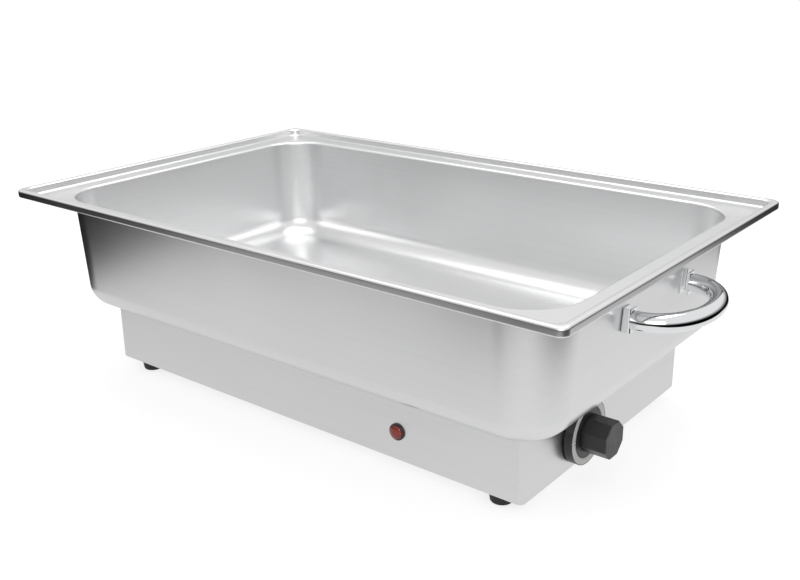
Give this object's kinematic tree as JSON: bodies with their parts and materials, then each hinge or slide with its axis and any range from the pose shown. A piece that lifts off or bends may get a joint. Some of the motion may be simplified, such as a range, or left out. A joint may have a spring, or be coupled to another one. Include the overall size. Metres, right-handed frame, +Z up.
{
  "type": "electric chafing dish",
  "caption": "Stainless electric chafing dish: a rectangular water pan with a stepped rim for a food pan, on a heated base with a thermostat knob, lamp, side handles and rubber feet.",
  "frame": {"origin": "on the table under the middle of the dish, at the bottom centre of its overall box", "axes": "+Z up, +X along the long side towards the knob, -Y towards the front with the indicator lamp"},
  "size_m": [0.6082, 0.36, 0.176],
  "materials": {
    "pan_steel": "satin drawn stainless steel",
    "base_steel": "satin stainless steel",
    "polished_steel": "polished",
    "galvanised_steel": "galvanised sheet",
    "aluminium": "rolled plate",
    "zinc_steel": "bright zinc plated",
    "element_sheath": "annealed element sheath",
    "copper": "drawn copper tube",
    "mineral_wool": "pressed mineral wool",
    "black_plastic": "moulded, fine grain",
    "grey_print": "printed dial ring",
    "red_lens": "clear red lens",
    "white_ceramic": "glazed ceramic",
    "black_rubber": "moulded rubber",
    "wire_sleeve": "woven glass sleeve"
  },
  "bodies": {
    "dish": {"water_pan": "pan_steel", "base_housing": "base_steel", "handle_right": "polished_steel", "handle_left": "polished_steel", "handle_bracket_1": "polished_steel", "handle_bracket_2": "polished_steel", "handle_bracket_3": "polished_steel", "handle_bracket_4": "polished_steel", "bottom_cover": "galvanised_steel", "pressure_tray": "galvanised_steel", "heat_spreader": "aluminium", "element_terminal_1": "zinc_steel", "element_terminal_2": "zinc_steel", "weld_stud_1": "zinc_steel", "weld_stud_2": "zinc_steel", "weld_stud_3": "zinc_steel", "weld_stud_4": "zinc_steel", "stud_nut_1": "zinc_steel", "stud_nut_2": "zinc_steel", "stud_nut_3": "zinc_steel", "stud_nut_4": "zinc_steel", "thermostat_screw_1": "zinc_steel", "thermostat_screw_2": "zinc_steel", "bulb_clip": "zinc_steel", "cutout_clip": "zinc_steel", "indicator_nut": "zinc_steel", "foot_screw_1": "zinc_steel", "foot_screw_2": "zinc_steel", "foot_screw_3": "zinc_steel", "foot_screw_4": "zinc_steel", "cover_screw_1": "zinc_steel", "cover_screw_2": "zinc_steel", "cover_screw_3": "zinc_steel", "cover_screw_4": "zinc_steel", "heating_element": "element_sheath", "sensor_bulb": "copper", "capillary_tube": "copper", "insulation_pad": "mineral_wool", "indicator_body": "black_plastic", "cord_gland": "black_plastic", "gland_nut": "black_plastic", "thermal_cutout": "black_plastic", "indicator_lens": "red_lens", "thermostat_body": "white_ceramic", "terminal_block": "white_ceramic", "foot_1": "black_rubber", "foot_2": "black_rubber", "foot_3": "black_rubber", "foot_4": "black_rubber", "supply_wire": "wire_sleeve", "heater_wire": "wire_sleeve", "return_wire": "wire_sleeve", "neutral_wire": "wire_sleeve", "lamp_wire_1": "wire_sleeve", "lamp_wire_2": "wire_sleeve"},
    "knob": {"knob_grip": "black_plastic", "dial_skirt": "black_plastic", "dial_ring": "grey_print", "thermostat_spindle": "zinc_steel"}
  },
  "joints": [
    {"name": "knob_turn", "type": "hinge", "parent": "dish", "child": "knob", "pos_m": [0.224, -0.0465, 0.039], "axis": [-1, 0, 0], "range_deg": [0, 270]}
  ]
}
